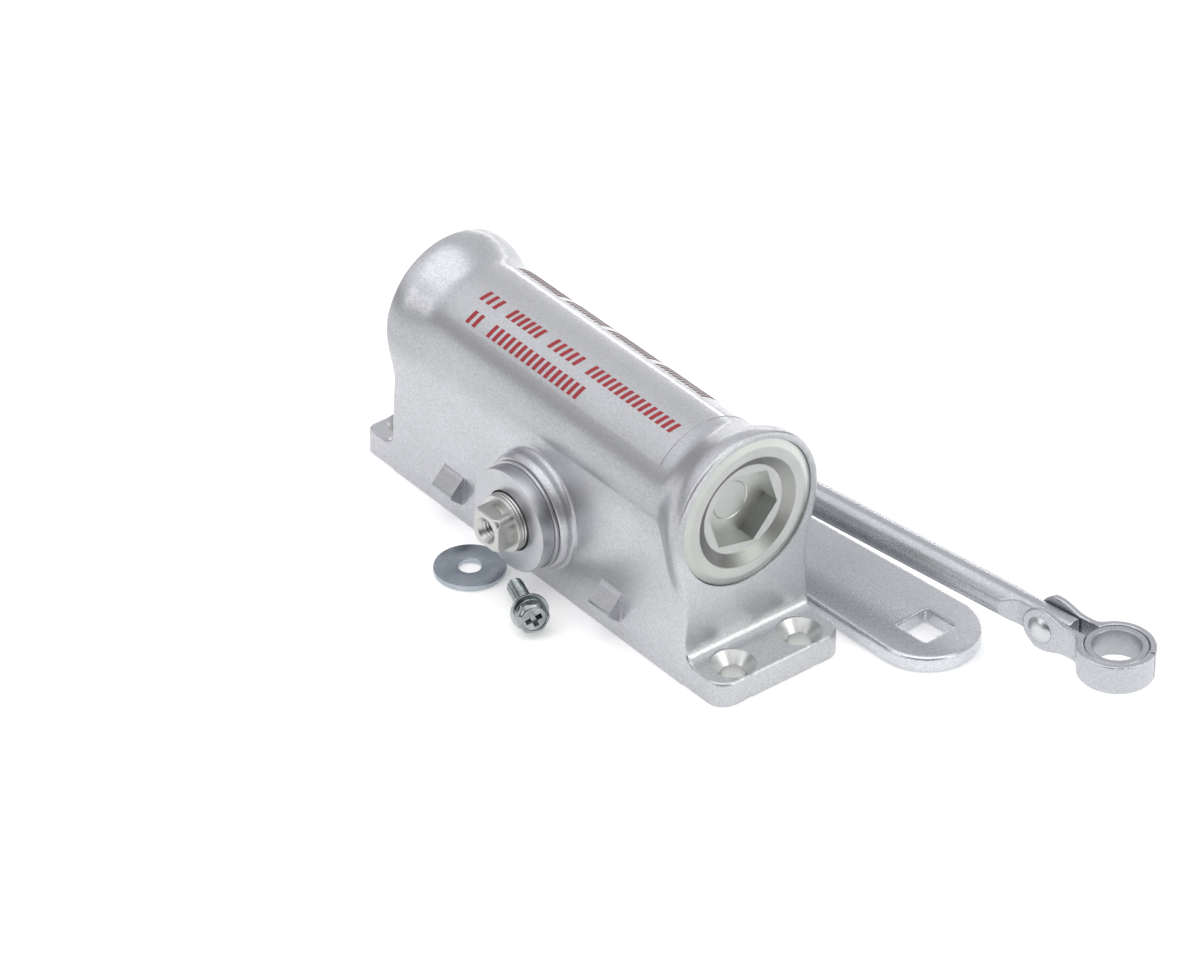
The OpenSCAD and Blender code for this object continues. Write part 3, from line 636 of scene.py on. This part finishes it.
# each foot hole has its own finely turned ring, joined into the same piece
for cx, sink_r in HOLE_ROWS:
    for cy in (-HOLE_Y, HOLE_Y):
        ring = [(HOLE_R, 0.05), (HOLE_R, FOOT_T - sink_r + HOLE_R), (sink_r - 0.2, FOOT_T - 0.2),
                (sink_r, FOOT_T + 0.02), (sink_r + 0.35, FOOT_T - 0.05), (sink_r + 0.35, 0.05)]
        rv, rf = lathe(soften(ring, 0.12), 112)
        v.append(rv + np.array([cx, cy, 0]))
        f += [[i + count for i in q] for q in rf]
        count += len(rv)
piece("casting", "body_casting", "closer_body", "body_paint", np.concatenate(v), f, body_paint)

# ---------------------------------------------------------------- end plugs


def plug(side, flange_r):
    def f(x, y, z):
        out = x * side
        rad = np.hypot(y, z - AXIS_H)
        chamfer, steep = 1.9, 3.2
        slope = (rad - flange_r + chamfer + (out - WALL) * steep) / math.hypot(1, steep)
        flange = smax(np.maximum(rad - flange_r, between(out, FLANGE_SEAT, WALL)), slope, 0.1)
        core = np.maximum(rad - BORE_R + 0.1, between(out, 43.5, 50.5))
        d = np.minimum(flange, core)
        widening = (RECESS_R - LEDGE_R) / (WALL - LEDGE_X)
        dish = (rad - LEDGE_R - (out - LEDGE_X) * widening) / math.hypot(1, widening)
        d = smax(d, -np.maximum(dish, LEDGE_X - out), 0.12)
        cu, cv = rotated(-(z - AXIS_H), y * side, SOCKET_TURN)
        socket = hexagon(cu, cv, math.radians(30)) - SOCKET_HALF
        d = smax(d, -np.maximum(socket, SOCKET_FLOOR - out), 0.12)
        turned_ring = np.hypot(rad - 4.6, out - SOCKET_FLOOR) - 0.14
        return cut(d, turned_ring)
    return f


for name, side, r in (("right_end_plug", 1, PLUG_R), ("left_end_plug", -1, VALVE_PLUG_R)):
    lo, hi = (42.9, -18.6, 19.9), (53.6, 18.6, 57.1)
    if side < 0:
        lo, hi = (-hi[0], lo[1], lo[2]), (-lo[0], hi[1], hi[2])
    piece(name + "_look", name, "closer_body", "plug_steel", *contour(plug(side, r), lo, hi, 0.2), plug_steel)

# ---------------------------------------------------------------- spindle and its cap

cap_profile = soften([(7.2, 15.6), (11.4, 15.6), (11.4, 20.6), (12.95, 20.6), (12.95, 21.45), (12.1, 21.6),
                      (12.1, 21.8), (12.45, 21.95), (12.4, 25), (7.2, 25)], 0.28)
v, f = lathe(cap_profile, 160)
piece("cap_look", "spindle_cap", "closer_body", "cap_metal", placed(v, OUT_OF_FLANK), f, cap_metal)


def spindle(x, y, z):
    zz = z - SPINDLE_H
    rad = np.hypot(x, zz)
    out = -y
    groove_start, groove_end, groove_pitch = 25.2, 27.0, 0.75
    waves = 0.5 - 0.5 * np.cos(2 * np.pi * (out - groove_start) / groove_pitch)
    grooves = 0.14 * waves * ((out > groove_start) & (out < groove_end))
    collar = smax(rad - COLLAR_R + grooves, np.maximum(out - COLLAR_END, 15.7 - out), 0.3)
    square = smax(np.abs(x) - SQUARE_HALF, np.abs(zz) - SQUARE_HALF, 0.3)
    head = smax(square, rad - HEAD_R, 0.3)
    head = smax(head, out - HEAD_END, 0.3)
    head = smax(head, (rad - HEAD_R + (out - HEAD_END + 0.7)) * 0.7071, 0.15)
    head = np.maximum(head, 26 - out)
    neck = np.maximum(rad - 4.9, between(out, 26.4, 28.4))
    d = np.minimum(np.minimum(collar, head), neck)
    pitch, depth = 0.8, 0.42
    phase = (np.arctan2(zz, x) / (2 * np.pi) + out / pitch) % 1.0
    thread = rad - (SCREW_R + depth * (1 - np.abs(2 * phase - 1)))
    hole = np.maximum(thread, HEAD_END - 12 - out)
    mouth = np.maximum((rad - 3.2 + (HEAD_END - out)) * 0.7071, 29 - out)
    return cut(cut(d, hole), mouth)


v, f = contour(spindle, (-7.4, -32, 10.6), (7.4, -15.2, 25.4), 0.13)


def gear_part(x, y, z):
    zz = z - SPINDLE_H
    rad = np.hypot(x, zz)
    core = np.maximum(rad - COLLAR_R, between(y, -16, -6))
    tail = np.maximum(rad - 6, between(y, 6, 14))
    step = 2 * np.pi / TEETH
    t = np.abs((np.arctan2(x, zz) + step / 2) % step - step / 2) * rad
    half = 1.9 - 0.47 * (rad - 7.8)
    tooth = np.maximum(t - np.minimum(half, 2.0), rad - TIP_R)
    wheel = np.maximum(np.minimum(rad - ROOT_R, tooth * 0.8), np.abs(y) - 6.5)
    return np.minimum(np.minimum(core, tail), wheel)


v2, f2 = contour(gear_part, (-11.2, -16.8, 6.8), (11.2, 14.6, 29.2), 0.3)
f = [list(q) for q in f] + [[i + len(v) for i in q] for q in f2]
v = np.concatenate([v, v2])
piece("spindle_look", "pinion_spindle", "spindle", "spindle_steel", v, f, spindle_steel)

# ---------------------------------------------------------------- label film and its plain printed bars


def patch(t0, t1, x0, x1, slant, radius, thick, verts, faces):
    """Thin curved block on the barrel between two angles from the top, leaning along its length."""
    base, turns = len(verts), 5
    for i in range(turns + 1):
        k = i / turns
        t = t0 + (t1 - t0) * k
        shift = slant * k
        for xx in (x0 + shift, x1 + shift):
            for r in (radius, radius + thick):
                verts.append((xx, r * math.sin(t), AXIS_H + r * math.cos(t)))
    for i in range(turns):
        a, b = base + 4 * i, base + 4 * (i + 1)
        faces.append((a + 1, a + 3, b + 3, b + 1))
        faces.append((a, b, b + 2, a + 2))
        faces.append((a, a + 1, b + 1, b))
        faces.append((a + 2, b + 2, b + 3, a + 3))
    end = base + 4 * turns
    faces.append((base, base + 2, base + 3, base + 1))
    faces.append((end, end + 1, end + 3, end + 2))


def hatch(name, rows, mat):
    """Rows of plain bars. A row is its stretches of X, two angles, a bar's width, the gap and the slant."""
    verts, faces = [], []
    for words, t_low, t_high, stroke, gap, slant in rows:
        for x0, x1 in words:
            n = max(2, int(round((x1 - x0) / (stroke + gap))))
            pitch = (x1 - x0) / n
            for i in range(n):
                x = x0 + i * pitch
                patch(math.radians(t_low), math.radians(t_high), x, x + stroke, slant,
                      BARREL_R + 0.125, 0.02, verts, faces)
    return piece(name, None, "closer_body", "label_print", verts, faces, mat)


hatch("print_bars", [
    (((-33, -26), (-23.5, -11.5), (-8.5, 2.5), (5, 35.5)), -27.0, -16.0, 1.15, 0.95, 0.8),
    (((-32, -27.5), (-24.5, 8.5)), -48.5, -36.0, 1.15, 0.95, 0.8)], print_red)
hatch("print_bars_top", [
    (((-37, -22), (-20, -7), (-5, 10), (12, 29)), 26.0, 50.0, 0.9, 0.5, 0.6)], print_dark)

# ---------------------------------------------------------------- arms


def main_arm(x, y, z):
    """A flat bar with round ends, tapered from its square hole to the elbow."""
    u, w = rotated(x - HOLE[0], y - HOLE[1], ARM_ANGLE)
    along, across = -u, np.abs(w)
    b = (ARM_R - ELBOW_R) / ARM_L
    a = math.sqrt(1 - b * b)
    k = -b * across + a * along
    side = a * across + b * along - ARM_R
    outline = np.where(k < 0, np.hypot(across, along) - ARM_R,
                       np.where(k > a * ARM_L, np.hypot(across, along - ARM_L) - ELBOW_R, side))
    d = smax(outline, between(z, 0, ARM_T), 1.0)
    d = smax(d, -rounded_rect(u, w, 4.5, 4.5, 0.7), 0.7)
    pin = np.hypot(u + ARM_L, w)
    d = cut(d, pin - PIN_R - 0.05)
    return cut(d, (pin - 4.3 + z) * 0.7071)


piece("arm_look", "main_arm", "main_arm_group", "arm_paint",
      *contour(main_arm, (-27, 17.2, -0.7), (87, 48.5, 4.7), 0.3), arm_paint)


def from_rod(verts):
    v = np.asarray(verts, float)
    c, s = math.cos(ROD_ANGLE), math.sin(ROD_ANGLE)
    out = np.empty_like(v)
    out[:, 0] = ELBOW[0] + v[:, 0] * c - v[:, 1] * s
    out[:, 1] = ELBOW[1] + v[:, 0] * s + v[:, 1] * c
    out[:, 2] = v[:, 2] + ROD_Z
    return out


def rod_local(s, w, h):
    straight = np.maximum(np.hypot(w, h) - ROD_R, BEND_R - s)
    ring = np.hypot(np.hypot(s - BEND_R, h + BEND_R) - BEND_R, w) - ROD_R
    bend = np.maximum(np.maximum(ring, s - BEND_R), -BEND_R - h)
    low, end = SHOULDER - ROD_Z, PIN_END - ROD_Z
    leg = np.maximum(np.hypot(s, w) - ROD_R, np.maximum(h + BEND_R, low - h))
    peened = np.clip(end + 1.1 - h, 0, 1.1)
    pin = np.maximum(np.hypot(s, w) - PIN_R - peened, np.maximum(h - low - 0.5, end - h))
    d = np.minimum(np.minimum(straight, bend), np.minimum(leg, pin))
    half = TANG_HALF + 1.95 * np.clip((TANG_START - s) / 4.4, 0, 1) ** 1.3
    d = smax(d, np.abs(w) - half, 0.5)
    return smax(d, s - TANG_END, 0.4)


v, f = contour(rod_local, (-4.4, -4.2, -17), (127.4, 4.2, 4.3), 0.32)
piece("rod_look", "forearm_rod", "forearm", "arm_paint", from_rod(v), f, rod_paint)


def strap_local(s, w, h):
    aw = np.abs(w)
    ring = np.hypot(s - EYE_S, w)
    loop = between(ring, LOOP_R, LOOP_R + STRAP_T)
    cheek = np.maximum(between(aw, CHEEK_GAP, CHEEK_GAP + STRAP_T), s - 133.2)
    plan = smin(np.maximum(loop, LOOP_R - ring), cheek, 1.6)
    plan = np.maximum(plan, LOOP_R - ring)
    plan = np.where((s < EYE_S - 5) & (aw < CHEEK_GAP), np.maximum(plan, CHEEK_GAP - aw), plan)
    lobe = np.hypot(s - RIVET_S, h) - 5
    bar = np.maximum(np.abs(h) - STRAP_HALF_H, RIVET_S - s)
    d = smax(plan, smin(lobe, bar, 3.2), 0.45)
    from_seam = np.arctan2(w, s - EYE_S) - math.radians(20)
    seam = np.maximum(np.abs(np.sin(from_seam)) * ring - 0.16, 7.6 - ring)
    return cut(d, np.where(np.cos(from_seam) > 0, seam, NOWHERE))


v, f = contour(strap_local, (114.2, -9.4, -5.6), (148, 9.4, 5.6), 0.24)
piece("strap_look", "knuckle_strap", "eye", "arm_paint", from_rod(v), f, rod_paint)

v, f = lathe(soften([(5.4, -3.55), (7.12, -3.55), (7.12, 3.5), (5.4, 3.5)], 0.55), 128)
v = from_rod(v + np.array([EYE_S, 0, 0]))
piece("bushing_look", "eye_bushing", "eye", "arm_paint", v, f, bushing_paint)

dome = [(0, 4.9), (0.8, 4.87), (1.6, 4.72), (2.3, 4.45), (2.85, 4.1), (3.15, 3.85), (3.2, 3.72)]
half = dome + [(2.38, 3.7)]
v, f = lathe(half + [(r, -h) for r, h in reversed(half)], 72)
v = from_rod(v[:, [0, 2, 1]] + np.array([RIVET_S, 0, 0]))
f = [list(reversed(q)) for q in f]
piece("rivet_look", "knuckle_rivet", "eye", "arm_paint", v, f, rivet_metal)

# ---------------------------------------------------------------- loose washer and screw

v, f = lathe(soften([(2.65, 0), (8.3, 0), (8.3, 1.2), (2.65, 1.2)], 0.3), 160)
v = v + np.array([*WASHER, 0])
piece("washer_look", "spindle_washer", "loose_washer", "zinc_steel", v, f, zinc)

# the screw leans on its washer's rim and on the end of its shank
WASHER_AT = SCREW_L - PLAIN_WASHER_T - LOCK_WASHER_T
TILT = math.atan((PLAIN_WASHER_R - SCREW_R) / WASHER_AT)
screw_frame = (Matrix.Translation((*SCREW_TIP, SCREW_R * math.cos(TILT)))
               @ Matrix.Rotation(SCREW_HEADING, 4, "Z") @ Matrix.Rotation(-TILT, 4, "Y"))


def screw_local(x, y, z):
    rad = np.hypot(y, z)
    pitch = 1.0
    phase = (np.arctan2(z, y) / (2 * np.pi) + x / pitch) % 1.0
    depth = 0.55 * np.abs(2 * phase - 1) * np.clip((13.3 - x) / 0.4, 0, 1)
    tip = (rad - 1.5 - x) * 0.7071
    shank = np.maximum(rad - SCREW_R + depth, np.maximum(x - SCREW_L - 0.5, tip))
    shank = np.maximum(shank, -x)
    top = SCREW_L + SCREW_HEAD_H
    head = smax(hexagon(z, y, math.radians(120)) - SCREW_HEAD_HALF, between(x, SCREW_L, top), 0.25)
    head = smax(head, rad - 3.75 + np.maximum(x - top + 0.9, 0) * 0.9, 0.2)
    d = np.minimum(shank, head)
    dish = np.maximum(rad - 2.75, top - 0.4 - x)
    d = smax(d, -dish, 0.25)
    p, q = (np.abs(t) for t in rotated(y, z, math.radians(20)))
    arm_l, arm_half, deep = 2.1 - 0.7 * np.clip((top - x) / 2.0, 0, 1), 0.55, 2.0
    cross = np.minimum(np.maximum(p - arm_l, q - arm_half), np.maximum(q - arm_l, p - arm_half))
    return smax(d, -np.maximum(cross, top - deep - x), 0.15)


v, f = contour(screw_local, (-0.4, -4.3, -4.3), (SCREW_L + 3.2, 4.3, 4.3), 0.11)
piece("screw_look", "spindle_screw", "loose_screw", "zinc_steel", placed(v, screw_frame), f, screw_zinc)


def lock_local(x, y, z):
    """A flat ring with one slanted gap."""
    ring = smax(between(np.hypot(y, z), 2.12, 3.68), between(x, SCREW_L - 0.99, SCREW_L - 0.07), 0.25)
    p, q = rotated(y, z, math.radians(-70))
    return cut(ring, np.where(p > 0, np.abs(q + 0.25 * (x - SCREW_L)) - 0.32, NOWHERE))


v, f = contour(lock_local, (SCREW_L - 1.5, -4.1, -4.1), (SCREW_L + 0.4, 4.1, 4.1), 0.12)
piece("lock_washer_look", "lock_washer", "loose_screw", "zinc_steel", placed(v, screw_frame), f, screw_zinc)

v, f = lathe(soften([(2.1, 0), (4.4, 0), (4.4, 0.78), (2.1, 0.78)], 0.22), 96)
v = v[:, [2, 0, 1]] + np.array([WASHER_AT, 0, 0])
piece("screw_washer_look", "screw_washer", "loose_screw", "zinc_steel", placed(v, screw_frame), f, screw_zinc)

# ---------------------------------------------------------------- closing spring


def coil(steps, sides):
    """A round wire wound at an even pitch between the piston and the plug."""
    x0, x1 = SPRING_X[0] + WIRE_R, SPRING_X[1] - WIRE_R
    a = np.linspace(0, 2 * np.pi * COILS, steps)
    x = x0 + (x1 - x0) * a / a[-1]
    path = np.stack([x, SPRING_R * np.cos(a), AXIS_H + SPRING_R * np.sin(a)], 1)
    ahead = np.gradient(path, axis=0)
    ahead /= np.linalg.norm(ahead, axis=1)[:, None]
    outward = path - np.stack([x, np.zeros_like(a), np.full_like(a, AXIS_H)], 1)
    outward /= np.linalg.norm(outward, axis=1)[:, None]
    side = np.cross(ahead, outward)
    ring = np.linspace(0, 2 * np.pi, sides, endpoint=False)
    verts = (path[:, None] + WIRE_R * (np.cos(ring)[None, :, None] * outward[:, None]
                                       + np.sin(ring)[None, :, None] * side[:, None])).reshape(-1, 3)
    corners = [(k, (k + 1) % sides) for k in range(sides)]
    starts = [i * sides for i in range(steps - 1)]
    faces = [(at + k, at + j, at + sides + j, at + sides + k) for at in starts for k, j in corners]
    faces += [tuple(reversed(range(sides))), tuple((steps - 1) * sides + k for k in range(sides))]
    return verts, faces


spring_look = piece("spring_look", "closing_spring", "closer_body", "spring_steel",
                    *coil(300, 18), spring_metal)
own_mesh(spring_look)


# ---------------------------------------------------------------- pieces shown as the CAD has them


def dress(node, mat):
    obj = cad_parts[node]
    obj.data.materials.clear()
    obj.data.materials.append(mat)


dress("label_film", film)
for node in ("right_plug_seal", "left_plug_seal", "spindle_seal", "cap_seal", "valve_seals"):
    dress(node, rubber)
dress("piston", iron)
dress("piston_ring", ring_plastic)
dress("check_ball", ball_steel)
dress("check_retainer", spindle_steel)
for node in ("front_bearing", "rear_bearing"):
    dress(node, bronze)
for node in ("closing_valve", "latching_valve"):
    dress(node, valve_brass)
dress("elbow_washer", zinc)
# these have a look of their own above and are hidden
for node in ("body_casting", "right_end_plug", "left_end_plug", "spindle_cap", "pinion_spindle",
             "main_arm", "forearm_rod", "knuckle_strap", "eye_bushing", "knuckle_rivet",
             "spindle_washer", "spindle_screw", "lock_washer", "screw_washer", "closing_spring"):
    dress(node, body_paint)

# ---------------------------------------------------------------- stage, light, camera

floor_mat, nodes, links, bsdf = material("floor")
grain = noise(nodes, links, coords(nodes), 40, 2)
white = ramp(nodes, links, grain, ((0.3, (0.93, 0.93, 0.93)), (0.7, (0.945, 0.945, 0.945))))
links.new(white, bsdf.inputs["Base Color"])
bsdf.inputs["Roughness"].default_value = 0.7
bsdf.inputs["Specular IOR Level"].default_value = 0.2
bsdf.inputs["Emission Color"].default_value = (1, 1, 1, 1)
bsdf.inputs["Emission Strength"].default_value = 0.30
bpy.ops.mesh.primitive_plane_add(size=6, location=(0, 0, -0.0002))
floor = bpy.context.object
floor.name = "floor"
floor.data.materials.append(floor_mat)

world = bpy.data.worlds.new("studio")
bpy.context.scene.world = world
world.use_nodes = True
wn, wl = world.node_tree.nodes, world.node_tree.links
wn.clear()
out = wn.new("ShaderNodeOutputWorld")
bg = wn.new("ShaderNodeBackground")
geo = wn.new("ShaderNodeTexCoord")
sep = wn.new("ShaderNodeSeparateXYZ")
wl.new(geo.outputs["Generated"], sep.inputs[0])
# the surroundings' brightness by height, from the horizon up, and one darker direction
sky = ((0.0, 0.40), (0.05, 0.16), (0.18, 0.30), (0.45, 0.80), (0.9, 0.66))
grad = ramp(wn, wl, sep.outputs["Z"], [(height, (c, c, c * 1.02)) for height, c in sky])
dark_side = wn.new("ShaderNodeVectorMath")
dark_side.operation = "DOT_PRODUCT"
dark_side.inputs[1].default_value = (0.68, -0.60, 0.42)
wl.new(geo.outputs["Generated"], dark_side.inputs[0])
shade = wn.new("ShaderNodeMapRange")
shade.interpolation_type = "SMOOTHSTEP"
for key, value in (("From Min", 0.68), ("From Max", 0.97), ("To Min", 1.0), ("To Max", 0.22)):
    shade.inputs[key].default_value = value
wl.new(dark_side.outputs["Value"], shade.inputs["Value"])
wl.new(grad, bg.inputs["Color"])
wl.new(shade.outputs["Result"], bg.inputs["Strength"])
wl.new(bg.outputs[0], out.inputs[0])


def softbox(name, direction, distance, size, power, colour=(1, 1, 1)):
    """A rectangular light that looks at the object from an azimuth and a height, both in degrees."""
    az, elv = (math.radians(a) for a in direction)
    back = Vector((math.sin(az) * math.cos(elv), -math.cos(az) * math.cos(elv), math.sin(elv)))
    data = bpy.data.lights.new(name, "AREA")
    data.shape, data.size, data.size_y = "RECTANGLE", size[0], size[1]
    data.energy, data.color = power, colour
    obj = bpy.data.objects.new(name, data)
    obj.location = back * distance + Vector((0.02, 0.01, 0.02))
    obj.rotation_mode = "QUATERNION"
    obj.rotation_quaternion = (-back).to_track_quat("-Z", "Y")
    bpy.context.collection.objects.link(obj)


softbox("top", (20, 80), 1.3, (1.6, 1.6), 9.0)
softbox("left", (-56, 40), 1.3, (0.9, 0.7), 0.5)
softbox("right", (112, 24), 1.3, (0.8, 0.8), 4.6, (1.0, 1.03, 0.93))
softbox("back_strip", (220, 9.5), 1.2, (1.3, 0.11), 2.1)
softbox("front", (-8, 24), 1.5, (0.5, 0.7), 1.6)

AZ, EL, DIST = math.radians(51.406), math.radians(35.175), 1.41375
SHIFT_RIGHT, SHIFT_UP = 0.000848, 0.01474
back = Vector((math.sin(AZ) * math.cos(EL), -math.cos(AZ) * math.cos(EL), math.sin(EL)))
right = Vector((math.cos(AZ), math.sin(AZ), 0))
up = back.cross(right)
cam_data = bpy.data.cameras.new("camera")
cam_data.lens, cam_data.sensor_width = 187.46, 36
cam_data.clip_start, cam_data.clip_end = 0.05, 20
cam = bpy.data.objects.new("camera", cam_data)
cam.matrix_world = frame_to(back * DIST + right * SHIFT_RIGHT + up * SHIFT_UP, right, up, back)
bpy.context.collection.objects.link(cam)
bpy.context.scene.camera = cam
bpy.context.scene.view_settings.view_transform = "Standard"
